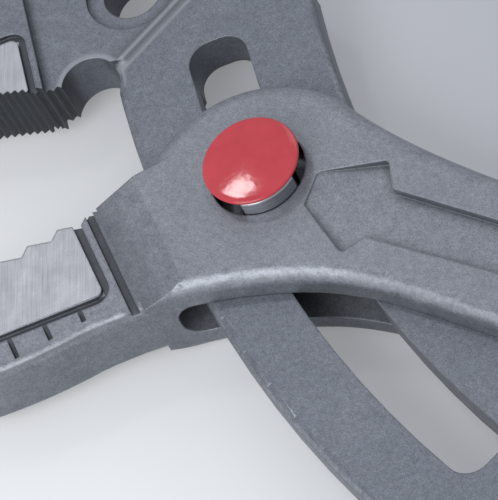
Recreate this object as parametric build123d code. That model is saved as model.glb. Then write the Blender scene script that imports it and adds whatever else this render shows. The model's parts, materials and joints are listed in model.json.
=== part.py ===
from build123d import *

import os
from math import cos, degrees, radians, sin

# Water pump pliers with a push button, about 300 mm long, in millimetres.
# The tool lies flat on the rear face of its box joint. The origin is on the bolt's axis at that
# face, +Z points to the button, +X to the jaws and +Y to the side of the slotted handle's grip.

os.makedirs("parts", exist_ok=True)

# Thickness, measured along Z
plate_thickness = 3.95
shank_thickness = 5.5
shank_gap = 0.1
jaw_thickness = 9.4
throat_thickness = 6.9
grip_wall = 2.1
box_thickness = 2 * (plate_thickness + shank_gap) + shank_thickness
middle = box_thickness / 2
handle_thickness = box_thickness - 2 * grip_wall
overrun = 5.0
rim_tolerance = 0.01

# The curved slot and the shank round it
guide_radius = 140.5
guide_bearing_deg = 60.0
slot_width = 7.5
slot_above_bolt = 24.2
slot_below_bolt = 50.4
slot_corner = 3.0
shank_side = 13.0

# Slotted handle: shank and arm
shank_top = -27.0
shank_rim = 1.2
upper_neck_arc = -22.0
slotted_arm_start = 56.0
slotted_thick_share = 0.98
slotted_knee_x = -111.0
slotted_knee_y = 36.0
slotted_end_x = -238.0
slotted_end_y = 74.0
rack_pitch = 2.1
rack_depth = 0.75
rack_height = 2.6

# Upper jaw, forged in one with the slotted handle
upper_jaw_length = 40.0
upper_jaw_depth = 22.0
upper_jaw_bearing_deg = 50.0
upper_throat_arc = -26.1
upper_throat_offset = 14.1
upper_pad_start = 7.4
upper_ground_along = 8.7
upper_ground_depth = 7.9
upper_step_x = 28.1
upper_step_y = -8.0
upper_step_bearing_deg = -7.3
upper_jaw_rim = 1.2
ring_radius = 5.8
ring_hole_radius = 3.75
ring_depth = 0.7
ring_along = -5.8
ring_behind = 9.3
upper_root_shares = [(0, 0), (0.105, -0.055), (0.215, -0.055)]
upper_bite_shares = [(0.575, 0.1), (0.945, 0.105)]
upper_tip_shares = [(0.97, 0.13), (0.95, 0.39)]
upper_back_shares = [(0.605, 0.715), (-0.08, 0.995), (-0.59, 0.285)]
upper_tooth_pitch = 1.0
upper_tooth_depth = 0.45

# Box handle: eye, cheeks and arm
box_rim = 2.2
eye_top_x = 10.6
eye_top_y = -7.6
eye_end_x = -3.5
eye_end_y = -13.1
cheek_end_x = -40.0
cheek_top_y = -14.6
cheek_bottom_y = 3.2
cheek_bow_x = -8.5
cheek_bow_y = 11.9
box_leaving_deg = 188.0
box_knee_x = -98.0
box_knee_y = -20.0
box_end_x = -238.0
box_end_y = -42.0
box_thick_share = 0.7
pocket_reach = 110.0
rear_bore_radius = 7.0
arrow_points = [(-17.6, 1.2), (-16.3, 4.3), (-8.0, 1.0), (-6.8, -3.4), (-13.8, -8.7), (-16.7, -5.7)]
arrow_corner = 0.6
arrow_start_x = -5.5
arrow_level_x = -15.0
arrow_depth = 1.25
arrow_shaft_width = 5.6
arrow_shaft_share = 0.5

# Lower jaw, forged in one with the box handle
lower_jaw_length = 41.0
lower_jaw_depth = 15.6
lower_jaw_bearing_deg = 60.0
lower_throat_x = 13.4
lower_throat_y = 6.3
lower_root_shares = [(0, 0), (0.075, 0.08), (0.106, 0.045)]
lower_tip_shares = [(1, 0.07), (0.985, 0.42)]
lower_back_shares = [(0.68, 0.93), (0.5, 0.99), (0.38, 1.0)]
lower_tooth_pitch = 4.1
lower_tooth_depth = 1.1
lower_valley_share = 0.3
lower_neck = 7.2
neck_slope = 5.8
lower_back_rim = 1.6
groove_width = 1.0
groove_depth = 0.7
neck_groove_along = 8.3
ground_corner = 1.8
lower_ground_along = 10.2
lower_ground_depth = 12.2
lower_ground_tip_depth = 7.0
rib_first = 14.2
rib_pitch = 4.5
rib_count = 5
rib_width = 0.6

# Arms, which the grips slide over
arm_width = 15.0
arm_rim = 3.0

# How far the joints turn from the pose of the photograph
closing_deg = 14.0
opening_deg = 16.0
pocket_clearance = 0.9
pocket_rim = 2.4

# Bolt and button
bolt_radius = 5.86
bolt_flat = 3.5
bolt_fit = 0.08
shoulder_radius = 6.8
bolt_tooth_height = 2.2
bolt_tooth_depth = 0.6
bolt_teeth = 3
head_height = 2.3
head_chamfer = 0.4
cap_radius = 6.0
cap_rim = 0.55
cap_dome = 0.35
peg_radius = 1.5
peg_length = 3.0
press_gap = 0.02

# Rear cover, spring seat and return spring
cover_thickness = 1.0
seat_thickness = 0.5
seat_side_gap = 0.3
spring_pocket_radius = 2.5
spring_pocket_depth = 4.0
spring_radius = 1.8
wire_radius = 0.3
spring_turns = 5

# Grips
grip_start_share = 0.02
grip_end = 9.0
grip_rim = 4.5

guide_centre = Vector(
    -guide_radius * cos(radians(guide_bearing_deg)),
    -guide_radius * sin(radians(guide_bearing_deg)),
)


def along_guide(arc, offset):
    """A point at an arc length past the bolt, towards the handles, and an offset outwards."""
    bearing = radians(guide_bearing_deg) + arc / guide_radius
    reach = guide_radius + offset
    return guide_centre + Vector(reach * cos(bearing), reach * sin(bearing))


def guide_strip(start, end, inner, outer):
    """A face between two arcs round the guide's centre."""
    half = (start + end) / 2
    with BuildSketch() as strip:
        with BuildLine():
            ThreePointArc(along_guide(start, outer), along_guide(half, outer), along_guide(end, outer))
            Line(along_guide(end, outer), along_guide(end, inner))
            ThreePointArc(along_guide(end, inner), along_guide(half, inner), along_guide(start, inner))
            Line(along_guide(start, inner), along_guide(start, outer))
        make_face()
    return strip.sketch


def slab(face, thickness):
    """A face raised to a thickness that lies evenly about the tool's middle plane."""
    low = middle - thickness / 2
    return Pos(0, 0, low) * extrude(face, amount=thickness, dir=(0, 0, 1))


def jaw_frame(origin, bearing_deg, side):
    """Gives a function that turns a place along and behind the teeth into a point."""
    bearing = radians(bearing_deg)
    along = Vector(cos(bearing), sin(bearing))
    behind = Vector(side * sin(bearing), -side * cos(bearing))


    def place(length, depth):
        return origin + along * length + behind * depth


    return place


upper_place = jaw_frame(along_guide(upper_throat_arc, upper_throat_offset), upper_jaw_bearing_deg, 1)
lower_place = jaw_frame(Vector(lower_throat_x, lower_throat_y), lower_jaw_bearing_deg, -1)


def upper_point(shares):
    """A point of the upper jaw from its shares of the jaw's length and depth."""
    return upper_place(shares[0] * upper_jaw_length, shares[1] * upper_jaw_depth)


def lower_point(shares):
    """A point of the lower jaw from its shares of the jaw's length and depth."""
    return lower_place(shares[0] * lower_jaw_length, shares[1] * lower_jaw_depth)


def closed_outline(*edges):
    """A face inside a ring of edges."""
    with BuildSketch() as outline:
        with BuildLine():
            for edge in edges:
                add(edge)
        make_face()
    return outline.sketch


def polyline_edges(points):
    """Straight edges from point to point."""
    return [Line(a, b) for a, b in zip(points, points[1:])]


def round_rims(solid, radius, keep=None):
    """Rounds the edges round the top and bottom faces of a slab, or those that keep picks."""
    box = solid.bounding_box()
    rims = solid.edges().filter_by(
        lambda e: abs(e.bounding_box().size.Z) < rim_tolerance
        and (abs(e.center().Z - box.min.Z) < rim_tolerance or abs(e.center().Z - box.max.Z) < rim_tolerance)
        and (keep is None or keep(e))
    )
    return solid.fillet(radius, rims)


class Arm:
    """An arm of two arcs that meet at its knee, where it has narrowed to its own width."""


    def __init__(self, start, bearing_deg, knee, end, start_width):
        bearing = radians(bearing_deg)
        leaving = Vector(cos(bearing), sin(bearing))
        first = TangentArc(start, knee, tangent=leaving)
        second = TangentArc(knee, end, tangent=first % 1)
        self.first, self.second = first, second
        self.width = start_width


    def side(self, side):
        """The two edges along one side, from the arm's start to its end."""
        start = self.aside(self.first, 0, side * self.width / 2)
        knee, halfway, end = (self.aside(self.second, share, side * arm_width / 2) for share in (0, 0.5, 1))
        narrowing = Spline(start, knee, tangents=[self.first % 0, self.first % 1])
        return [narrowing, ThreePointArc(knee, halfway, end)]


    @staticmethod
    def aside(arc, share, distance):
        """A point beside an arc, at a share of it."""
        heading = arc % share
        return arc @ share + Vector(-heading.Y, heading.X) * distance


    def outline(self):
        """The edges round the arm, from one side's start past its square end to the other's."""
        near, far = self.side(1), self.side(-1)
        return [*near, Line(near[-1] @ 1, far[-1] @ 1), *far]


    def beyond(self, share, face):
        """The stretch of a face past a share of the arm's first arc."""
        reach = 2 * abs(slotted_end_x)
        edge = Plane(origin=self.first @ share, x_dir=self.first % share, z_dir=(0, 0, 1))
        return face & (edge * Rectangle(reach, reach, align=(Align.MIN, Align.CENTER)))


slotted_arm = Arm(
    along_guide(slotted_arm_start, 0),
    guide_bearing_deg + 90 + degrees(slotted_arm_start / guide_radius),
    Vector(slotted_knee_x, slotted_knee_y),
    Vector(slotted_end_x, slotted_end_y),
    2 * shank_side,
)
box_arm = Arm(
    Vector(cheek_end_x, (cheek_top_y + cheek_bottom_y) / 2),
    box_leaving_deg,
    Vector(box_knee_x, box_knee_y),
    Vector(box_end_x, box_end_y),
    cheek_bottom_y - cheek_top_y,
)


def fine_teeth(edges):
    """Crests and gullets along edges, with the gullets sunk to the edges' right."""
    points = []
    for edge in edges:
        count = max(1, round(edge.length / upper_tooth_pitch))
        for tooth in range(count):
            points.append(edge @ (tooth / count))
            halfway = (tooth + 0.5) / count
            heading = edge % halfway
            points.append(edge @ halfway + Vector(heading.Y, -heading.X) * upper_tooth_depth)
    points.append(edges[-1] @ 1)
    return points


def saw_teeth():
    """Crests and valleys of the lower jaw's coarse teeth, from its root to its tip."""
    first = lower_root_shares[-1][0] * lower_jaw_length
    last = lower_tip_shares[0][0] * lower_jaw_length
    count = round((last - first) / lower_tooth_pitch)
    pitch = (last - first) / count
    points = []
    for tooth in range(count):
        start = first + tooth * pitch
        points.append(lower_place(start, 0))
        points.append(lower_place(start + lower_valley_share * pitch, lower_tooth_depth))
    return points


def upper_jaw_outline():
    """Plan of the upper jaw, back to its root on the shank."""
    root = [upper_point(s) for s in upper_root_shares]
    bite = [upper_point(s) for s in upper_bite_shares]
    tip = [upper_point(s) for s in upper_tip_shares]
    back = [upper_point(s) for s in upper_back_shares]
    neck_outer = along_guide(upper_throat_arc, shank_side)
    neck_inner = along_guide(upper_neck_arc, -shank_side)
    row = [*polyline_edges(root), ThreePointArc(root[-1], bite[0], bite[1])]
    return closed_outline(
        *polyline_edges([neck_outer, *fine_teeth(row), *tip]),
        ThreePointArc(tip[-1], back[0], back[1]),
        ThreePointArc(back[1], back[2], neck_inner),
        Line(neck_inner, neck_outer),
    )


def slotted_plan():
    """Plan of the shank and arm in one, without the jaw."""
    half = (shank_top + slotted_arm_start) / 2
    start = slotted_arm_start
    return closed_outline(
        ThreePointArc(
            along_guide(shank_top, -shank_side), along_guide(half, -shank_side), along_guide(start, -shank_side)
        ),
        *slotted_arm.outline(),
        ThreePointArc(
            along_guide(start, shank_side), along_guide(half, shank_side), along_guide(shank_top, shank_side)
        ),
        Line(along_guide(shank_top, shank_side), along_guide(shank_top, -shank_side)),
    )


def box_jaw_edges():
    """Edges of the lower jaw from the eye's end round the teeth and tip to the jaw's back."""
    root = [lower_point(s) for s in lower_root_shares]
    tip = [lower_point(s) for s in lower_tip_shares]
    back = [lower_point(s) for s in lower_back_shares]
    return [
        *polyline_edges([*root[:-1], *saw_teeth(), *tip, back[0]]),
        ThreePointArc(back[0], back[1], back[2]),
    ]


def box_back_edges():
    """Edges of the box handle from the jaw's back round the arm to the eye's end."""
    jaw_end = lower_point(lower_back_shares[-1])
    eye_end = Vector(eye_end_x, eye_end_y)
    eye_start = lower_point(lower_root_shares[0])
    arm_edges = box_arm.outline()
    leaving = box_arm.first % 0
    eye = ThreePointArc(eye_end, Vector(eye_top_x, eye_top_y), eye_start)
    bow = ThreePointArc(jaw_end, Vector(cheek_bow_x, cheek_bow_y), arm_edges[-2] @ 0)
    return [
        Spline(jaw_end, bow @ 0.5, bow @ 1, tangents=[bow % 0, bow % 0.5, leaving]),
        *arm_edges,
        Spline(arm_edges[0] @ 0, eye_end, tangents=[-leaving, eye % 0]),
        eye,
    ]


def window(origin, bearing_deg):
    """A wide rectangle that starts at a point and faces a bearing."""
    reach = 2 * abs(slotted_end_x)
    bearing = radians(bearing_deg)
    edge = Plane(origin=origin, x_dir=(cos(bearing), sin(bearing), 0), z_dir=(0, 0, 1))
    return edge * Rectangle(reach, reach, align=(Align.MIN, Align.CENTER))


def rack():
    """The row of notches in the slot's outer wall, open to the rear."""
    wall = slot_width / 2
    above = int((slot_above_bolt - slot_corner) / rack_pitch)
    below = int((slot_below_bolt - slot_corner) / rack_pitch)
    first = -(above - 0.5) * rack_pitch
    last = (below - 0.5) * rack_pitch
    points = [along_guide(first, 0)]
    for notch in range(above + below - 1):
        start = first + notch * rack_pitch
        points.append(along_guide(start, wall))
        points.append(along_guide(start + rack_pitch / 2, wall + rack_depth))
    points.append(along_guide(last, wall))
    points.append(along_guide(last, 0))
    comb = closed_outline(*polyline_edges([*points, points[0]]))
    low = middle - shank_thickness / 2 - overrun
    return Pos(0, 0, low) * extrude(comb, amount=overrun + rack_height, dir=(0, 0, 1))


def make_slotted_handle():
    """Shank with its curved slot, upper jaw and arm, as one forging."""
    plan = slotted_plan()
    shank = round_rims(slab(plan, shank_thickness), shank_rim)
    thick = slab(slotted_arm.beyond(slotted_thick_share, plan), handle_thickness)
    arm = round_rims(thick, arm_rim, lambda edge: edge.length > 2 * arm_width)
    jaw_plan = upper_jaw_outline()
    step = window(Vector(upper_step_x, upper_step_y), upper_step_bearing_deg)
    ahead = window(upper_place(upper_pad_start, 0), upper_jaw_bearing_deg)
    stages = [(jaw_plan, shank_thickness), (jaw_plan & step, throat_thickness), (jaw_plan & ahead, jaw_thickness)]
    jaw = [
        round_rims(slab(stage, thickness), upper_jaw_rim, lambda edge: edge.geom_type == GeomType.CIRCLE)
        for stage, thickness in stages
    ]
    slot = guide_strip(-slot_above_bolt, slot_below_bolt, -slot_width / 2, slot_width / 2)
    slot = fillet(slot.vertices(), slot_corner)
    ring = Pos(upper_place(ring_along, ring_behind))
    recess = ring * Circle(ring_radius)
    floor = throat_thickness - 2 * ring_depth
    cuts = [
        slab(slot, box_thickness),
        rack(),
        slab(ring * Circle(ring_hole_radius), box_thickness),
        slab(recess, box_thickness) - slab(recess, floor),
        face_grooves(
            round_ground_face(
                upper_place, upper_ground_along, upper_ground_depth, upper_jaw_length, upper_ground_depth
            ),
            groove_width,
        ),
    ]
    return shank + arm + jaw - cuts


def cheek_pocket():
    """The space between the cheeks that the shank swings through, from one limit to the other."""
    half = shank_side + pocket_clearance
    strip = guide_strip(-pocket_reach, pocket_reach, -half, half)
    pocket = round_rims(
        slab(strip, shank_thickness + 2 * shank_gap), pocket_rim, lambda edge: edge.length > pocket_reach
    )
    turned = [Rot(0, 0, turn) * pocket for turn in (-opening_deg, closing_deg)]
    return pocket + turned


def neck_slopes():
    """What the cheeks lose as they slope down to the lower jaw's faces."""
    along = (lower_place(1, 0) - lower_place(0, 0)).normalized()
    side = Plane(origin=lower_place(0, 0), x_dir=along, z_dir=along.cross(Vector(0, 0, 1)))
    top = middle + jaw_thickness / 2
    profile = closed_outline(*polyline_edges([
        (lower_neck - neck_slope, box_thickness),
        (lower_neck, top),
        (lower_neck + overrun, top),
        (lower_neck + overrun, box_thickness + overrun),
        (lower_neck - neck_slope, box_thickness + overrun),
        (lower_neck - neck_slope, box_thickness),
    ]))
    front = extrude(side * profile, amount=2 * lower_jaw_depth, both=True)
    return front + mirror(front, Plane(origin=(0, 0, middle)))


def face_grooves(lines, width):
    """Grooves along lines, sunk in both faces of a jaw."""
    path = trace(lines, line_width=width)
    return slab(path, box_thickness) - slab(path, jaw_thickness - 2 * groove_depth)


def round_ground_face(place, along, depth, far, far_depth):
    """Lines of the groove round a jaw's ground face: across the jaw, round a corner and to the tip."""
    before = place(along, depth - ground_corner)
    after = place(along + ground_corner, depth)
    middle_point = (before + after) / 4 + place(along, depth) / 2
    return [
        Line(place(along, -overrun), before),
        ThreePointArc(before, middle_point, after),
        Line(after, place(far, far_depth)),
    ]


def lower_jaw_grooves():
    """The grooves round the ground face, across the neck and between the raised pads."""
    far = lower_jaw_length + overrun
    lines = round_ground_face(lower_place, lower_ground_along, lower_ground_depth, far, lower_ground_tip_depth)
    neck = Line(lower_place(neck_groove_along, -overrun), lower_place(neck_groove_along, 2 * lower_jaw_depth))
    slope = (lower_ground_tip_depth - lower_ground_depth) / (far - lower_ground_along)
    ribs = []
    for rib in range(rib_count):
        place = rib_first + rib * rib_pitch
        start = lower_ground_depth + slope * (place - lower_ground_along)
        ribs.append(Line(lower_place(place, start), lower_place(place, lower_jaw_depth - lower_back_rim)))
    return [face_grooves([*lines, neck], groove_width), face_grooves(ribs, rib_width)]


def arrow_recess():
    """The arrow sunk in the front cheek, deeper away from the bolt, with its shaft along the arm."""
    head = closed_outline(*polyline_edges([*arrow_points, arrow_points[0]]))
    shaft_end = box_arm.first @ arrow_shaft_share
    heading = box_arm.first % arrow_shaft_share
    aside = Vector(-heading.Y, heading.X) * arrow_shaft_width / 2
    top, bottom = Vector(*arrow_points[0]), Vector(*arrow_points[-1])
    shaft = closed_outline(
        Line(top, bottom),
        Line(bottom, shaft_end + aside),
        Line(shaft_end + aside, shaft_end - aside),
        Line(shaft_end - aside, top),
    )
    outline = fillet((head + shaft).vertices(), arrow_corner)
    floor = box_thickness - arrow_depth
    side = closed_outline(*polyline_edges([
        (arrow_start_x, box_thickness),
        (arrow_start_x, box_thickness + overrun),
        (box_knee_x, box_thickness + overrun),
        (box_knee_x, floor),
        (arrow_level_x, floor),
        (arrow_start_x, box_thickness),
    ]))
    wedge = extrude(Plane.XZ * side, amount=abs(box_knee_x), both=True)
    return wedge & slab(outline, 2 * box_thickness)


def make_box_handle():
    """Lower jaw, eye with its two cheeks, and arm, as one forging."""
    jaw_edges = box_jaw_edges()
    back_edges = box_back_edges()
    plan = closed_outline(*jaw_edges, *back_edges)
    jaw_start, jaw_end = jaw_edges[0] @ 0, jaw_edges[-1] @ 1
    beyond_neck = lower_place(lower_jaw_depth, 0)
    eye = closed_outline(Line(jaw_start, beyond_neck), Line(beyond_neck, jaw_end), *back_edges)
    eye -= window(lower_place(lower_neck, 0), lower_jaw_bearing_deg)
    eye -= box_arm.beyond(box_thick_share, eye)
    cheeks = round_rims(slab(eye, box_thickness), box_rim, lambda edge: edge.geom_type == GeomType.BSPLINE)
    cheeks -= neck_slopes()
    jaw = plan & window(lower_place(lower_neck - neck_slope, 0), lower_jaw_bearing_deg)
    jaw = round_rims(slab(jaw, jaw_thickness), lower_back_rim, lambda edge: edge.geom_type != GeomType.LINE)
    jaw -= lower_jaw_grooves()
    arm = slab(box_arm.beyond(box_thick_share / 2, plan), handle_thickness)
    arm = round_rims(arm, arm_rim, lambda edge: edge.length > 2 * arm_width)
    arrow = arrow_recess()
    top_hole = Pos(0, 0, box_thickness) * Cylinder(bolt_radius + bolt_fit, box_thickness)
    rear_bore = Cylinder(rear_bore_radius, box_thickness)
    body = cheeks + jaw + arm - cheek_pocket()
    return body - [top_hole, rear_bore, arrow, mirror(arrow, Plane(origin=(0, 0, middle)))]


def bolt_section(radius):
    """A disc with two flats that lie along the slot."""
    across = Rot(0, 0, guide_bearing_deg) * Rectangle(2 * bolt_flat, 2 * radius)
    return Circle(radius) & across


def make_bolt():
    """The hinge bolt: a stepped pin with two flats, teeth on one flat and a bore for the spring."""
    low = plate_thickness
    shoulder = box_thickness - plate_thickness - shank_gap
    top = box_thickness + head_height
    body = Pos(0, 0, low) * extrude(bolt_section(shoulder_radius), amount=shoulder - low)
    neck = Pos(0, 0, low) * extrude(bolt_section(bolt_radius), amount=top - low)
    neck = chamfer(neck.edges().group_by(Axis.Z)[-1], head_chamfer)
    outer = Rot(0, 0, guide_bearing_deg)
    points = []
    for tooth in range(bolt_teeth + 1):
        start = (tooth - (bolt_teeth + 1) / 2) * rack_pitch
        points.append(Vector(bolt_flat, start))
        points.append(Vector(bolt_flat - bolt_tooth_depth, start + rack_pitch / 2))
    points.append(Vector(bolt_flat, (bolt_teeth + 1) / 2 * rack_pitch))
    points.append(Vector(2 * bolt_flat, 0))
    gullets = outer * closed_outline(*polyline_edges([*points, points[0]]))
    cut = Pos(0, 0, low) * extrude(gullets, amount=bolt_tooth_height, dir=(0, 0, 1))
    pocket = Pos(0, 0, low) * Cylinder(spring_pocket_radius, 2 * spring_pocket_depth)
    peg_hole = Pos(0, 0, top) * Cylinder(peg_radius + press_gap, 2 * peg_length)
    return body + neck - [cut, pocket, peg_hole]


def make_cap():
    """The button's cap: a shallow dome with a peg that is pressed into the bolt."""
    top = box_thickness + head_height
    dome_radius = (cap_radius**2 + cap_dome**2) / (2 * cap_dome)
    disc = standing_disc(cap_radius, top, cap_rim + cap_dome)
    dome = Pos(0, 0, top + cap_rim + cap_dome - dome_radius) * Sphere(dome_radius)
    reach = peg_length - press_gap
    return (disc & dome) + standing_disc(peg_radius, top - reach, reach)


def standing_disc(radius, low, height):
    """A disc about the bolt's axis that stands at a height."""
    return Pos(0, 0, low) * Cylinder(radius, height, align=(Align.CENTER, Align.CENTER, Align.MIN))


def make_seat():
    """The thin disc that the spring stands on."""
    return standing_disc(rear_bore_radius - seat_side_gap, cover_thickness + shank_gap, seat_thickness)


def make_cover():
    """The flush disc pressed into the rear cheek's bore."""
    return standing_disc(rear_bore_radius - press_gap, 0, cover_thickness)


def make_spring():
    """A return spring of round wire between the seat and the end of the bolt's bore."""
    low = cover_thickness + shank_gap + seat_thickness
    length = plate_thickness + spring_pocket_depth - low
    rise = length - 2 * wire_radius
    path = Helix(rise / spring_turns, rise, spring_radius)
    wire = Plane(origin=path @ 0, z_dir=path % 0) * Circle(wire_radius)
    return Pos(0, 0, low + wire_radius) * sweep(wire, path, is_frenet=True)


def make_grip(arm, handle):
    """A sleeve dipped over an arm, closed at its end."""
    half = arm_width / 2 + grip_wall
    shares = (grip_start_share, (1 + grip_start_share) / 2, 1)
    near = [arm.aside(arm.second, share, half) for share in shares]
    far = [arm.aside(arm.second, share, -half) for share in shares]
    tip = arm.second @ 1 + (arm.second % 1) * grip_end
    plan = closed_outline(
        ThreePointArc(*near), ThreePointArc(near[-1], tip, far[-1]), ThreePointArc(*far), Line(far[0], near[0])
    )
    sleeve = round_rims(slab(plan, box_thickness), grip_rim, lambda edge: edge.geom_type == GeomType.CIRCLE)
    return sleeve - handle


slotted_handle = make_slotted_handle()
box_handle = make_box_handle()
nodes = {
    "slotted_handle": slotted_handle,
    "box_handle": box_handle,
    "hinge_bolt": make_bolt(),
    "button_cap": make_cap(),
    "spring_seat": make_seat(),
    "return_spring": make_spring(),
    "rear_cover": make_cover(),
    "slotted_grip": make_grip(slotted_arm, slotted_handle),
    "box_grip": make_grip(box_arm, box_handle),
}
for name, shape in nodes.items():
    export_step(shape, f"parts/{name}.step")
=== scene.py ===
import json
import math

import bpy
from mathutils import Matrix, Vector

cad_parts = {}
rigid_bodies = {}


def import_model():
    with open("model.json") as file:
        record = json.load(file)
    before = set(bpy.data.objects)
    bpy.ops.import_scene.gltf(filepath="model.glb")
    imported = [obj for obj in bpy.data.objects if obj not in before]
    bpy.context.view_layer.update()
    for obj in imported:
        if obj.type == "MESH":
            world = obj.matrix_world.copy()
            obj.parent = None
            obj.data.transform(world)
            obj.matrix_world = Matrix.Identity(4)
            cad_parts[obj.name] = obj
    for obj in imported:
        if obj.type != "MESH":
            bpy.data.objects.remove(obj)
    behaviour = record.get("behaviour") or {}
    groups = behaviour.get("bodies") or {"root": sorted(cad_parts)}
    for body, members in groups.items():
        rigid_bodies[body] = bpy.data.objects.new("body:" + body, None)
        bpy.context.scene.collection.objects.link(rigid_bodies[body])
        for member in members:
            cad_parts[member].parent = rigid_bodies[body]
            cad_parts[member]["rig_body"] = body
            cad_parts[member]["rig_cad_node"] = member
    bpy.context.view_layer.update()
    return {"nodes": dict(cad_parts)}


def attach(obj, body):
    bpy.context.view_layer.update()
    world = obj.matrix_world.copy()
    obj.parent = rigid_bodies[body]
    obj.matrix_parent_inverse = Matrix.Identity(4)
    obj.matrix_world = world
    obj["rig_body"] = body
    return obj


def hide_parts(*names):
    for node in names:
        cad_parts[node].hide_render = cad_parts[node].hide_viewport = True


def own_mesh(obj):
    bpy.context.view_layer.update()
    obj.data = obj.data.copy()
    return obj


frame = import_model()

# The camera looks down on the joint from the side of the handles, about 37 degrees off straight
# above and rolled, through a long lens. The bolt's axis stays at the origin, so the camera is aimed
# by how far the button lies right of the picture's middle and above it.
mm = 0.001
box_face = 13.6
handles_bearing = math.radians(155)
tilt_cos, tilt_sin = 0.796, 0.605
roll_cos, roll_sin = 0.843, 0.537
toward_grips = Vector((math.cos(handles_bearing), math.sin(handles_bearing), 0))
upright = Vector((0, 0, 1))
across = toward_grips.cross(upright) * -1
to_camera = upright * tilt_cos + toward_grips * tilt_sin
slope = toward_grips * tilt_cos - upright * tilt_sin
camera_right = across * roll_cos + slope * roll_sin
camera_up = across * roll_sin - slope * roll_cos
picture_side, pixels_per_mm = 500, 8.465
picture_span = picture_side / pixels_per_mm
button_right, button_up = 8.8 / pixels_per_mm, 77.6 / pixels_per_mm
target = upright * box_face - camera_right * button_right - camera_up * button_up
camera_distance, camera_reach = 800.0, 20
camera_data = bpy.data.cameras.new("camera")
camera_data.lens = camera_data.sensor_width * camera_distance / picture_span
camera_data.clip_end = camera_reach
camera = bpy.data.objects.new("camera", camera_data)
bpy.context.scene.collection.objects.link(camera)
camera.location = (target + to_camera * camera_distance) * mm
camera.rotation_mode = "QUATERNION"
camera.rotation_quaternion = Matrix((camera_right, camera_up, to_camera)).transposed().to_quaternion()
bpy.context.scene.camera = camera

# Soft studio light: a small softbox over the jaws that shines in the button's cap, a broad one
# behind it, a fill from the side of the grips, and a pale room all round.
bpy.context.scene.view_settings.view_transform = "Standard"


def soft_lamp(name, heading, distance, size, power):
    """A square lamp that shines at the bolt from a heading and a distance in millimetres."""
    data = bpy.data.lights.new(name, "AREA")
    data.shape = "SQUARE"
    data.size = size * mm
    data.energy = power
    lamp = bpy.data.objects.new(name, data)
    bpy.context.scene.collection.objects.link(lamp)
    direction = Vector(heading).normalized()
    lamp.location = direction * distance * mm
    lamp.rotation_mode = "QUATERNION"
    lamp.rotation_quaternion = direction.to_track_quat("Z", "Y")


soft_lamp("softbox_over_jaws", heading=(0.50, -0.13, 0.86), distance=900, size=95, power=0.45)
soft_lamp("broad_softbox_behind", heading=(0.30, -0.70, 0.65), distance=1000, size=500, power=0.8)
soft_lamp("fill_beside_grips", heading=(-0.15, 0.70, 0.70), distance=700, size=480, power=2.9)
room = bpy.data.worlds.new("pale_room")
bpy.context.scene.world = room
room.use_nodes = True
room_light = room.node_tree.nodes["Background"]
room_light.inputs["Color"].default_value = (0.90, 0.93, 1.0, 1)
room_light.inputs["Strength"].default_value = 0.6

# The tool lies on one wide sheet of paper whose colour runs from grey behind the jaws to pale
# beside the handles. A hand's width further out it greys again, painted shade laid over the pool
# of light where the fill lamp hangs over it. The camera and glossy metal see the paper a little
# brighter than the lamps leave it.
sheet_side, sheet_gap = 4.0, 0.02
pale_paper = (0.57, 0.58, 0.59, 1)
grey_paper = (0.22, 0.23, 0.26, 1)
outer_painted_shade = (0.33, 0.34, 0.36, 1)
grey_until, pale_from, outer_from = -80, 58, 210
paper_bearing, paper_glow = -70, 0.5
bpy.ops.object.select_all(action="DESELECT")
bpy.ops.mesh.primitive_plane_add(size=sheet_side, location=(0, 0, -sheet_gap * mm))
paper = bpy.context.active_object
paper.name = "paper_sheet"
graded = bpy.data.materials.new("graded_paper")
graded.use_nodes = True
nodes, links = graded.node_tree.nodes, graded.node_tree.links
paper_shader = nodes["Principled BSDF"]
paper_place = nodes.new("ShaderNodeTexCoord")
paper_turn = nodes.new("ShaderNodeMapping")
paper_turn.inputs["Rotation"].default_value = (0, 0, math.radians(paper_bearing))
links.new(paper_place.outputs["Object"], paper_turn.inputs["Vector"])
paper_axis = nodes.new("ShaderNodeSeparateXYZ")
links.new(paper_turn.outputs["Vector"], paper_axis.inputs["Vector"])


def paper_going_over_to(colour, start, end):
    """A mixer that takes the paper to a colour between two distances in millimetres."""
    grade = nodes.new("ShaderNodeMapRange")
    grade.interpolation_type = "SMOOTHSTEP"
    grade.inputs["From Min"].default_value = start * mm
    grade.inputs["From Max"].default_value = end * mm
    links.new(paper_axis.outputs["X"], grade.inputs["Value"])
    mixer = nodes.new("ShaderNodeMix")
    mixer.data_type = "RGBA"
    mixer.inputs["B"].default_value = colour
    links.new(grade.outputs["Result"], mixer.inputs["Factor"])
    return mixer


near_shade = paper_going_over_to(pale_paper, grey_until, pale_from)
near_shade.inputs["A"].default_value = grey_paper
# the outer grey is painted shade over the fill lamp's pool of light
paper_shade = paper_going_over_to(outer_painted_shade, pale_from, outer_from)
links.new(near_shade.outputs["Result"], paper_shade.inputs["A"])
seen = nodes.new("ShaderNodeLightPath")
either = nodes.new("ShaderNodeMath")
either.operation = "MAXIMUM"
links.new(seen.outputs["Is Camera Ray"], either.inputs[0])
links.new(seen.outputs["Is Glossy Ray"], either.inputs[1])
glow = nodes.new("ShaderNodeMath")
glow.operation = "MULTIPLY"
glow.inputs[1].default_value = paper_glow
links.new(either.outputs[0], glow.inputs[0])
links.new(paper_shade.outputs["Result"], paper_shader.inputs["Base Color"])
links.new(paper_shade.outputs["Result"], paper_shader.inputs["Emission Color"])
links.new(glow.outputs[0], paper_shader.inputs["Emission Strength"])
paper_shader.inputs["Roughness"].default_value = 0.7
paper.data.materials.append(graded)
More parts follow.
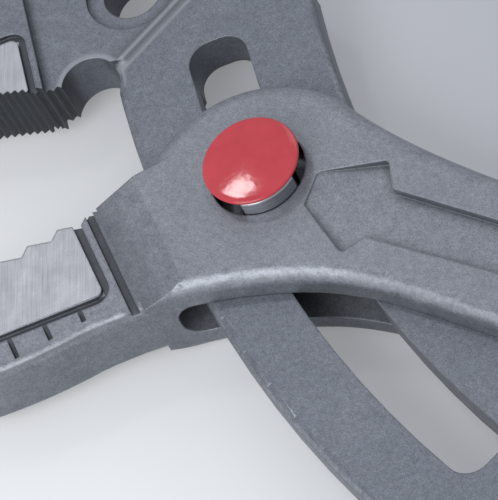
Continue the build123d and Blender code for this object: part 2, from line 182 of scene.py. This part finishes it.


# The slotted handle is one drop forging of alloy steel: shank with its curved slot, hooked upper
# jaw and arm. Its flash is trimmed, its jaw is ground bright, the walls of its teeth are coloured
# near black, and the rest keeps a blue-grey phosphate skin that is rubbed light along the edges,
# with painted highlight on its rounded rims and painted shade in its grooves, corners and walls.
def merged_copy(node, name):
    """A copy of a CAD node's mesh with its doubles merged and its flat faces whole."""
    piece = frame["nodes"][node].copy()
    piece.data = piece.data.copy()
    piece.name = name
    piece.parent = None
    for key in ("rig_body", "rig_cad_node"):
        del piece[key]
    bpy.context.scene.collection.objects.link(piece)
    piece.data.materials.clear()
    bpy.ops.object.select_all(action="DESELECT")
    piece.select_set(True)
    bpy.context.view_layer.objects.active = piece
    bpy.ops.object.mode_set(mode="EDIT")
    bpy.ops.mesh.select_all(action="SELECT")
    bpy.ops.mesh.remove_doubles(threshold=1e-6)
    bpy.ops.mesh.dissolve_limited(angle_limit=math.radians(0.5))
    bpy.ops.object.mode_set(mode="OBJECT")
    return piece


def round_line(piece, origin, bearing_deg, heights, width):
    """Rounds the edges that lie square to a bearing through an origin, at heights, in millimetres."""
    bearing = Vector((math.cos(math.radians(bearing_deg)), math.sin(math.radians(bearing_deg)), 0))
    start = Vector((origin[0], origin[1], 0))
    bpy.ops.object.mode_set(mode="EDIT")
    bpy.ops.mesh.select_mode(type="EDGE")
    bpy.ops.mesh.select_all(action="DESELECT")
    bpy.ops.object.mode_set(mode="OBJECT")
    for edge in piece.data.edges:
        ends = [piece.data.vertices[end].co / mm for end in edge.vertices]
        on_line = all(abs((end - start).dot(bearing)) < 0.05 for end in ends)
        on_height = any(all(abs(end.z - height) < 0.02 for end in ends) for height in heights)
        edge.select = on_line and on_height
    bpy.ops.object.mode_set(mode="EDIT")
    bpy.ops.mesh.bevel(offset=width * mm, segments=4, affect="EDGES", clamp_overlap=True)
    bpy.ops.object.mode_set(mode="OBJECT")


def soften_edges(piece, width):
    """Rounds every sharp edge a little and shades the rest smooth."""
    bevel = piece.modifiers.new("edges", "BEVEL")
    bevel.width = width * mm
    bevel.segments = 2
    bevel.limit_method = "ANGLE"
    bevel.angle_limit = math.radians(32)
    bpy.ops.object.modifier_apply(modifier="edges")
    bpy.ops.object.shade_smooth_by_angle(angle=math.radians(38))
    normals = piece.modifiers.new("normals", "WEIGHTED_NORMAL")
    normals.keep_sharp = True
    bpy.ops.object.modifier_apply(modifier="normals")


class Surface:
    """A node material, with short calls for the nodes that its patterns are built from."""

    def __init__(self, name):
        self.material = bpy.data.materials.new(name)
        self.material.use_nodes = True
        self.tree = self.material.node_tree
        self.shader = self.tree.nodes["Principled BSDF"]
        self.place = self.tree.nodes.new("ShaderNodeTexCoord").outputs["Object"]

    def feed(self, socket, value):
        """Links an output to a socket, or sets the socket to a number."""
        if isinstance(value, bpy.types.NodeSocket):
            self.tree.links.new(value, socket)
        else:
            socket.default_value = value

    def math(self, operation, first, second=0.0):
        """One sum, product or comparison."""
        node = self.tree.nodes.new("ShaderNodeMath")
        node.operation = operation
        self.feed(node.inputs[0], first)
        self.feed(node.inputs[1], second)
        return node.outputs[0]

    def noise(self, size, detail, place=None):
        """Noise whose grains are about a size in millimetres, or in the units of a place."""
        node = self.tree.nodes.new("ShaderNodeTexNoise")
        node.inputs["Scale"].default_value = 1 / size if place else 1 / (size * mm)
        node.inputs["Detail"].default_value = detail
        self.feed(node.inputs["Vector"], place or self.place)
        return node.outputs["Fac"]

    def range(self, value, low, high, out_low=0.0, out_high=1.0, smooth=False):
        """A value carried from one range to another and held at its ends."""
        node = self.tree.nodes.new("ShaderNodeMapRange")
        node.interpolation_type = "SMOOTHSTEP" if smooth else "LINEAR"
        node.inputs["From Min"].default_value = low
        node.inputs["From Max"].default_value = high
        node.inputs["To Min"].default_value = out_low
        node.inputs["To Max"].default_value = out_high
        self.feed(node.inputs["Value"], value)
        return node.outputs["Result"]

    def mix(self, share, first, second, blend="MIX"):
        """Two colours mixed by a share."""
        node = self.tree.nodes.new("ShaderNodeMix")
        node.data_type = "RGBA"
        node.blend_type = blend
        self.feed(node.inputs["Factor"], share)
        self.feed(node.inputs["A"], first)
        self.feed(node.inputs["B"], second)
        return node.outputs["Result"]

    def frame(self, origin, bearing_deg, scale):
        """Places measured from an origin in millimetres along a bearing, in steps of a scale."""
        node = self.tree.nodes.new("ShaderNodeMapping")
        node.vector_type = "TEXTURE"
        node.inputs["Location"].default_value = (origin[0] * mm, origin[1] * mm, 0)
        node.inputs["Rotation"].default_value = (0, 0, math.radians(bearing_deg))
        node.inputs["Scale"].default_value = [step * mm for step in scale]
        self.feed(node.inputs["Vector"], self.place)
        return node.outputs["Vector"]

    def axes(self, vector):
        """The three parts of a vector."""
        node = self.tree.nodes.new("ShaderNodeSeparateXYZ")
        self.feed(node.inputs["Vector"], vector)
        return node.outputs

    def distance(self, centre=(0, 0)):
        """Millimetres from an upright axis through a centre, at first the bolt's."""
        place = self.axes(self.frame(centre, 0, (1, 1, 1)))
        square = self.math("MULTIPLY", place["X"], place["X"])
        both = self.math("ADD", square, self.math("MULTIPLY", place["Y"], place["Y"]))
        return self.math("SQRT", both)

    def inside(self, radius):
        """1 nearer to the bolt's axis than a radius in millimetres, else 0."""
        return self.math("LESS_THAN", self.distance(), radius)

    def uprightness(self, normal="Normal"):
        """How squarely the surface faces the tool's front or rear: 1 on flat faces, 0 on walls."""
        direction = self.tree.nodes.new("ShaderNodeNewGeometry").outputs[normal]
        return self.math("ABSOLUTE", self.axes(direction)["Z"])

    def rounded(self, radius):
        """The surface's normal as if each edge were rounded to a radius in millimetres."""
        node = self.tree.nodes.new("ShaderNodeBevel")
        node.samples = 6
        self.feed(node.inputs["Radius"], self.math("MULTIPLY", radius, mm))
        return node.outputs["Normal"]

    def crevice(self, reach):
        """1 deep in the piece's own corners, 0 on open faces, felt over a reach in millimetres."""
        node = self.tree.nodes.new("ShaderNodeAmbientOcclusion")
        node.samples = 6
        node.only_local = True
        node.inputs["Distance"].default_value = reach * mm
        return self.range(node.outputs["AO"], 0.95, 0.55)

    def edge_wear(self, radius):
        """1 along sharp edges, 0 further from them than a radius in millimetres."""
        plain = self.tree.nodes.new("ShaderNodeNewGeometry").outputs["True Normal"]
        product = self.tree.nodes.new("ShaderNodeVectorMath")
        product.operation = "DOT_PRODUCT"
        self.feed(product.inputs[0], self.rounded(radius))
        self.feed(product.inputs[1], plain)
        return self.range(product.outputs["Value"], 0.97, 0.80)

    def bump(self, height, strength, distance, edge):
        """Relief of a height pattern up to a distance, over edges rounded to a radius, in millimetres."""
        node = self.tree.nodes.new("ShaderNodeBump")
        self.feed(node.inputs["Normal"], self.rounded(edge))
        node.inputs["Strength"].default_value = strength
        node.inputs["Distance"].default_value = distance * mm
        self.feed(node.inputs["Height"], height)
        self.feed(self.shader.inputs["Normal"], node.outputs["Normal"])

    def finish(self, **values):
        """Sets the shader's sockets, by their names with underscores."""
        for name, value in values.items():
            self.feed(self.shader.inputs[name.replace("_", " ").title()], value)
        return self.material


rubbed_and_highlight_skin = (0.37, 0.39, 0.425, 1)
sharp_edge_skin = (0.42, 0.44, 0.47, 1)
painted_highlight_skin = (0.33, 0.35, 0.38, 1)
painted_hollow_shade = (0.07, 0.078, 0.09, 1)
painted_groove_shade = (0.055, 0.061, 0.071, 1)
painted_shade_black = (0.05, 0.055, 0.065, 1)
ground_dull, ground_bright = (0.36, 0.37, 0.40, 1), (0.48, 0.49, 0.52, 1)
teeth_wall_black = (0.045, 0.050, 0.055, 1)
painted_bore_shadow = (0.02, 0.021, 0.023, 1)
groove_floor, groove_reach, groove_full = 4.0, 0.35, 0.2
pocket_half_height = 2.9
bore_radius, lip_inner, lip_outer = 6.2, 6.9, 7.7
tooth_reach, streaks_bearing = 2.6, 128
corner_radius = 0.35


def phosphated_forging(
    name, dark, light, jaw_origin, jaw_bearing, jaw_side, ground_from, ground_depth, ground_slope,
    teeth_from, neck=None, step=None, round_throat=None
):
    """A forging's skin, with its ground face, dark tooth walls, painted shade in grooves and corners, and
    worn edges with painted highlight, placed along its jaw.
    """
    steel = Surface(name)
    facing = steel.uprightness()
    jaw = steel.axes(steel.frame(jaw_origin, jaw_bearing, (1, jaw_side, 1)))
    along, depth = jaw["X"], jaw["Y"]
    flat = steel.range(facing, 0.93, 0.99)
    wall = steel.range(facing, 0.55, 0.25)

    # the phosphate itself, in soft patches over a fine grain
    mottle = steel.noise(2.6, 5)
    patches = steel.noise(0.75, 4)
    grain = steel.noise(0.2, 3)
    cloud = steel.noise(14, 2)
    tone = steel.mix(steel.range(mottle, 0.15, 0.85), dark, light)
    tone = steel.mix(steel.range(cloud, 0.35, 0.7, 0, 0.35), tone, dark)
    tone = steel.mix(0.18, tone, steel.range(patches, 0.2, 0.8), "OVERLAY")
    tone = steel.mix(0.65, tone, grain, "OVERLAY")

    # wear and painted highlight on rounded rims, rubbed light on sharp edges, and a painted highlight on
    # the lip of the button's hole
    rim = steel.math("MULTIPLY", steel.range(facing, 0.30, 0.62), steel.range(facing, 0.925, 0.86))
    rim = steel.math("MULTIPLY", rim, steel.range(steel.uprightness("True Normal"), 0.995, 0.98))
    wear_and_highlight = steel.math("MULTIPLY", rim, steel.range(steel.noise(0.45, 5), 0.25, 0.75))
    wear_and_highlight = steel.math("MULTIPLY", wear_and_highlight, steel.range(steel.noise(7, 2), 0.3, 0.6, 0.35, 0.9))
    tone = steel.mix(wear_and_highlight, tone, rubbed_and_highlight_skin)
    uneven = steel.range(steel.noise(3, 3), 0.3, 0.6, 0.3, 0.85)
    tone = steel.mix(steel.math("MULTIPLY", steel.edge_wear(0.18), uneven), tone, sharp_edge_skin)
    height = steel.math("DIVIDE", steel.axes(steel.place)["Z"], mm)
    from_middle = steel.math("ABSOLUTE", steel.math("SUBTRACT", height, box_face / 2))
    cheeks = steel.math("GREATER_THAN", from_middle, pocket_half_height)
    # a ring of painted highlight round the button's hole, on the cheeks' flat faces
    lip_highlight = steel.math("SUBTRACT", steel.inside(lip_outer), steel.inside(lip_inner))
    lip_highlight = steel.math("MULTIPLY", lip_highlight, steel.math("MULTIPLY", cheeks, flat))
    tone = steel.mix(steel.math("MULTIPLY", lip_highlight, 0.22), tone, light)

    # painted shade darkens the grooves' floors, the piece's own corners and its walls
    off_floor = steel.math("ABSOLUTE", steel.math("SUBTRACT", from_middle, groove_floor))
    at_floor = steel.range(off_floor, groove_reach, groove_full)
    groove_shade = steel.math("MULTIPLY", at_floor, steel.range(facing, 0.4, 0.7))
    tone = steel.mix(steel.math("MULTIPLY", groove_shade, 0.58), tone, painted_groove_shade)
    tone = steel.mix(steel.math("MULTIPLY", steel.crevice(1.3), 0.6), tone, painted_shade_black)
    tone = steel.mix(steel.range(facing, 0.5, 0.1, 0, 0.22), tone, painted_shade_black)

    # painted shade darkens the lower jaw's neck as a soft hollow would; at the upper jaw's step a
    # painted highlight runs along the ridge and round the throat's lip, with painted shade beside the
    # ridge
    edge = corner_radius
    if neck:
        going_in = steel.range(along, neck - 4.2, neck)
        coming_out = steel.range(along, neck + 0.6, neck)
        neck_shade = steel.math("MULTIPLY", going_in, coming_out)
        neck_shade = steel.math("MULTIPLY", neck_shade, steel.range(facing, 0.5, 0.9))
        tone = steel.mix(steel.math("MULTIPLY", neck_shade, 0.45), tone, painted_hollow_shade)
    if step:
        step_origin, step_bearing = step
        throat_centre, throat_radius = round_throat
        across_step = steel.axes(steel.frame(step_origin, step_bearing, (1, 1, 1)))["X"]
        off_ridge = steel.math("ABSOLUTE", steel.math("ADD", across_step, 0.15))
        ridge = steel.range(off_ridge, 0.95, 0.35, smooth=True)
        going_in = steel.range(across_step, 0.2, 0.7)
        coming_out = steel.range(across_step, 2.6, 0.7)
        hollow_shade = steel.math("MULTIPLY", going_in, coming_out)
        tone = steel.mix(steel.math("MULTIPLY", hollow_shade, 0.45), tone, painted_hollow_shade)
        tone = steel.mix(steel.math("MULTIPLY", ridge, 0.85), tone, painted_highlight_skin)
        from_throat = steel.distance(throat_centre)
        throat_lip_highlight = steel.range(from_throat, throat_radius + 1.0, throat_radius + 0.3, smooth=True)
        throat_lip_highlight = steel.math("MULTIPLY", throat_lip_highlight, flat)
        tone = steel.mix(steel.math("MULTIPLY", throat_lip_highlight, 0.7), tone, painted_highlight_skin)
        edge = steel.math("ADD", corner_radius, steel.math("MULTIPLY", ridge, 0.6))

    # the jaw's side is ground bright, its teeth's walls are coloured near black, and the bore's walls are
    # painted black as painted shadow
    ahead = steel.math("GREATER_THAN", along, ground_from)
    limit = steel.math("MULTIPLY_ADD", along, ground_slope)
    limit.node.inputs[2].default_value = ground_depth
    shallow = steel.math("LESS_THAN", depth, limit)
    ground = steel.math("MULTIPLY", steel.math("MULTIPLY", ahead, shallow), flat)
    streaks = steel.noise(1, 4, steel.frame((0, 0), streaks_bearing, (6, 0.16, 6)))
    brushed = steel.mix(steel.range(streaks, 0.3, 0.7), ground_dull, ground_bright)
    tone = steel.mix(ground, tone, brushed)
    teeth = steel.math("MULTIPLY", steel.math("LESS_THAN", depth, tooth_reach), wall)
    teeth = steel.math("MULTIPLY", teeth, steel.range(along, teeth_from - 1.0, teeth_from))
    tone = steel.mix(steel.math("MULTIPLY", teeth, 0.8), tone, teeth_wall_black)
    bore = steel.math("MULTIPLY", steel.math("MULTIPLY", steel.inside(bore_radius), cheeks), wall)
    tone = steel.mix(bore, tone, painted_bore_shadow)

    # rubbed and ground places are glossier, ground steel is bare metal, and the bore is dull
    gloss = steel.range(mottle, 0.3, 0.7, 0.40, 0.52)
    gloss = steel.math("SUBTRACT", gloss, steel.math("MULTIPLY", wear_and_highlight, 0.04))
    gloss = steel.math("SUBTRACT", gloss, steel.math("MULTIPLY", ground, 0.05))
    metal = steel.math("ADD", 0.55, steel.math("MULTIPLY", ground, 0.35))
    metal = steel.math("MULTIPLY", metal, steel.math("SUBTRACT", 1.0, bore))
    gloss = steel.math("ADD", gloss, steel.math("MULTIPLY", bore, 0.45))
    relief = steel.math("ADD", grain, steel.math("MULTIPLY", ground, steel.math("MULTIPLY", streaks, 0.4)))
    steel.bump(relief, 0.3, 0.05, edge)
    return steel.finish(base_color=tone, roughness=gloss, metallic=metal)


# the throat behind the upper teeth is cut round, and the step in front of the shank is rounded off
throat_x, throat_y, throat_radius = 30.0, -1.6, 3.65
step_origin, step_bearing, step_round = (28.1, -8.0), -7.3, 0.6
step_heights = (3.35, 10.25)
forging_round = 0.25
slotted_forging = merged_copy("slotted_handle", "slotted_forging")
bpy.ops.mesh.primitive_cylinder_add(
    vertices=128,
    radius=throat_radius * mm,
    depth=2 * box_face * mm,
    location=(throat_x * mm, throat_y * mm, 0),
)
throat_cutter = bpy.context.active_object
bpy.ops.object.select_all(action="DESELECT")
slotted_forging.select_set(True)
bpy.context.view_layer.objects.active = slotted_forging
throat = slotted_forging.modifiers.new("throat", "BOOLEAN")
throat.operation = "DIFFERENCE"
throat.object = throat_cutter
bpy.ops.object.modifier_apply(modifier="throat")
bpy.data.objects.remove(throat_cutter)
round_line(slotted_forging, step_origin, step_bearing, step_heights, step_round)
soften_edges(slotted_forging, forging_round)
# the upper handle's tones are painted darker than the box forging's, as painted shade
slotted_forging.data.materials.append(phosphated_forging(
    "phosphated_steel_upper",
    dark=(0.140, 0.155, 0.183, 1),
    light=(0.225, 0.240, 0.275, 1),
    jaw_origin=(30.45, -4.37),
    jaw_bearing=50,
    jaw_side=-1,
    ground_from=9.2,
    ground_depth=7.4,
    ground_slope=0,
    teeth_from=4.6,
    step=(step_origin, step_bearing),
    round_throat=((throat_x, throat_y), throat_radius),
))
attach(slotted_forging, "slotted_side")
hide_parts("slotted_handle")

# The box handle is the second forging: lower jaw, the eye whose two cheeks hold the shank, and arm.
# It is milled through for the shank, a little deeper at the pocket's back, where the shank's edge
# comes close when the tool shuts. It has the same skin, ground face and dark tooth walls, but
# its tones are painted lighter than the slotted forging's, as painted light.
pocket_back_x, pocket_back_y = (-62, -5), (-11.7, -5)
pocket_wall_half, pocket_room = 2.86, 0.9
lower_jaw_x, lower_jaw_y, lower_jaw_bearing = 13.4, 6.3, 60
neck_line, neck_round = 1.4, 1.8
box_forging = merged_copy("box_handle", "box_forging")
for point in box_forging.data.vertices:
    x, y, z = point.co / mm
    at_back = pocket_back_x[0] < x < pocket_back_x[1] and pocket_back_y[0] < y < pocket_back_y[1]
    if at_back and abs(z - box_face / 2) < pocket_wall_half:
        point.co.y -= pocket_room * mm
neck_x = lower_jaw_x + neck_line * math.cos(math.radians(lower_jaw_bearing))
neck_y = lower_jaw_y + neck_line * math.sin(math.radians(lower_jaw_bearing))
round_line(box_forging, (neck_x, neck_y), lower_jaw_bearing, (0, box_face), neck_round)
soften_edges(box_forging, forging_round)
# the box forging's tones are painted lighter than the slotted forging's, as painted light
box_forging.data.materials.append(phosphated_forging(
    "phosphated_steel_lower",
    dark=(0.186, 0.201, 0.232, 1),
    light=(0.295, 0.310, 0.345, 1),
    jaw_origin=(lower_jaw_x, lower_jaw_y),
    jaw_bearing=lower_jaw_bearing,
    jaw_side=1,
    ground_from=10.7,
    ground_depth=13.2,
    ground_slope=-0.145,
    teeth_from=-0.5,
    neck=8.0,
))
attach(box_forging, "box_side")
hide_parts("box_handle")

# The hinge bolt is turned from bar and milled to two flats. Its neck shows as a bright band under
# the cap, with fine rings from the lathe. Nearer the axis than the core radius it is painted near
# black, painted shadow in the gap round its flats.
turned_dull, turned_bright = (0.32, 0.33, 0.35, 1), (0.46, 0.47, 0.49, 1)
shaded_core, core_radius = (0.02, 0.02, 0.022, 1), 5.6
turned_bolt = merged_copy("hinge_bolt", "turned_bolt")
soften_edges(turned_bolt, 0.12)
bar = Surface("turned_bright_steel")
rings = bar.noise(1, 3, bar.frame((0, 0), 0, (8, 8, 0.07)))
bar.bump(rings, 0.25, 0.02, 0.15)
turned_bolt.data.materials.append(bar.finish(
    base_color=bar.mix(
        bar.inside(core_radius),
        bar.mix(bar.range(rings, 0.3, 0.7), turned_dull, turned_bright),
        shaded_core,
    ),
    roughness=bar.range(rings, 0.3, 0.7, 0.22, 0.34),
    metallic=1.0,
))
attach(turned_bolt, "button")
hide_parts("hinge_bolt")

# The button's cap is moulded in glossy red plastic: a shallow dome with a rounded rim, and a peg
# below it that is pressed into the bolt's end.
cap_radius, cap_rim, cap_dome = 6.0, 0.55, 0.35
cap_seat, rim_radius = 15.9, 0.3
dome_rings = (5.2, 4.3, 3.3, 2.2, 1.1, 0.3)
peg_radius, peg_length = 1.5, 2.9
deep_red, bright_red = (0.50, 0.044, 0.057, 1), (0.55, 0.054, 0.069, 1)
bpy.ops.object.select_all(action="DESELECT")
bpy.ops.mesh.primitive_cylinder_add(
    vertices=128,
    radius=cap_radius * mm,
    depth=cap_rim * mm,
    location=(0, 0, (cap_seat + cap_rim / 2) * mm),
)
moulded_button = bpy.context.active_object
moulded_button.name = "moulded_button"
bpy.ops.object.transform_apply(location=True)
bpy.ops.object.mode_set(mode="EDIT")
bpy.ops.mesh.select_mode(type="FACE")
bpy.ops.mesh.select_all(action="DESELECT")
bpy.ops.object.mode_set(mode="OBJECT")
for face in moulded_button.data.polygons:
    face.select = face.normal.z > 0.9
bpy.ops.object.mode_set(mode="EDIT")
outer = cap_radius
for radius in dome_rings:
    rise = cap_dome * (outer**2 - radius**2) / cap_radius**2
    bpy.ops.mesh.inset(thickness=(outer - radius) * mm, depth=rise * mm)
    outer = radius
bpy.ops.object.mode_set(mode="OBJECT")
bpy.ops.mesh.primitive_cylinder_add(
    vertices=32,
    radius=peg_radius * mm,
    depth=peg_length * mm,
    location=(0, 0, (cap_seat - peg_length / 2) * mm),
)
bpy.ops.object.transform_apply(location=True)
moulded_button.select_set(True)
bpy.context.view_layer.objects.active = moulded_button
bpy.ops.object.join()
rim_round = moulded_button.modifiers.new("rim", "BEVEL")
rim_round.width = rim_radius * mm
rim_round.segments = 4
rim_round.limit_method = "ANGLE"
rim_round.angle_limit = math.radians(50)
bpy.ops.object.modifier_apply(modifier="rim")
bpy.ops.object.shade_smooth_by_angle(angle=math.radians(40))
red = Surface("glossy_red_plastic")
flow = red.noise(2.4, 2)
pits = red.noise(0.7, 3)
red.bump(red.math("ADD", flow, red.math("MULTIPLY", pits, 0.28)), 0.3, 0.06, 0.1)
moulded_button.data.materials.append(red.finish(
    base_color=red.mix(red.range(flow, 0.3, 0.7), deep_red, bright_red),
    roughness=red.range(red.noise(0.5, 3), 0.3, 0.7, 0.06, 0.12),
    metallic=0.0,
))
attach(moulded_button, "button")
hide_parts("button_cap")

# A pressed steel disc closes the rear cheek's bore, level with the face that the tool rests on.
# It is bright zinc plated, with the faint swirl of its drawing die.
zinc_dull, zinc_bright = (0.36, 0.37, 0.38, 1), (0.48, 0.49, 0.50, 1)
closing_disc = merged_copy("rear_cover", "closing_disc")
soften_edges(closing_disc, 0.15)
zinc = Surface("zinc_plated_disc")
swirl = zinc.noise(0.35, 4)
zinc.bump(swirl, 0.2, 0.02, 0.15)
closing_disc.data.materials.append(zinc.finish(
    base_color=zinc.mix(zinc.range(swirl, 0.3, 0.7), zinc_dull, zinc_bright),
    roughness=zinc.range(swirl, 0.3, 0.7, 0.28, 0.42),
    metallic=0.95,
))
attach(closing_disc, "box_side")
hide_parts("rear_cover")

# The return spring of round wire and the thin disc that it stands on are bare spring steel, oiled.
# The disc keeps the model's mesh. The spring rides with the carriage, on a mesh of its own.
oil_dark, oil_light = (0.22, 0.22, 0.23, 1), (0.34, 0.34, 0.35, 1)
wound_spring = merged_copy("return_spring", "wound_spring")
bpy.ops.object.shade_smooth_by_angle(angle=math.radians(50))
seat_disc = frame["nodes"]["spring_seat"]
seat_disc.data.materials.clear()
for name, hidden_piece in (("spring", wound_spring), ("seat", seat_disc)):
    oiled = Surface("oiled_" + name)
    film = oiled.noise(0.6, 3)
    hidden_piece.data.materials.append(oiled.finish(
        base_color=oiled.mix(oiled.range(film, 0.3, 0.7), oil_dark, oil_light),
        roughness=oiled.range(film, 0.3, 0.7, 0.22, 0.36),
        metallic=1.0,
    ))
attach(wound_spring, "carriage")
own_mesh(wound_spring)
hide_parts("return_spring")

# The grips are sleeves of soft vinyl that the arms are dipped in, hot, up to the knee. The skin is
# satin, a little uneven where it ran, and duller where hands rub it.
worn_vinyl, fresh_vinyl = (0.40, 0.030, 0.040, 1), (0.48, 0.040, 0.052, 1)
sleeve_round = 0.6
for node, name, body in (
    ("slotted_grip", "slotted_sleeve", "slotted_side"),
    ("box_grip", "box_sleeve", "box_side"),
):
    sleeve = merged_copy(node, name)
    soften_edges(sleeve, sleeve_round)
    vinyl = Surface("dipped_vinyl_" + name)
    run = vinyl.noise(9, 2)
    skin = vinyl.noise(0.9, 4)
    vinyl.bump(vinyl.math("ADD", vinyl.math("MULTIPLY", run, 2.0), skin), 0.25, 0.08, 0.8)
    sleeve.data.materials.append(vinyl.finish(
        base_color=vinyl.mix(vinyl.range(run, 0.3, 0.7), worn_vinyl, fresh_vinyl),
        roughness=vinyl.range(skin, 0.3, 0.7, 0.36, 0.52),
        metallic=0.0,
    ))
    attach(sleeve, body)
    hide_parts(node)
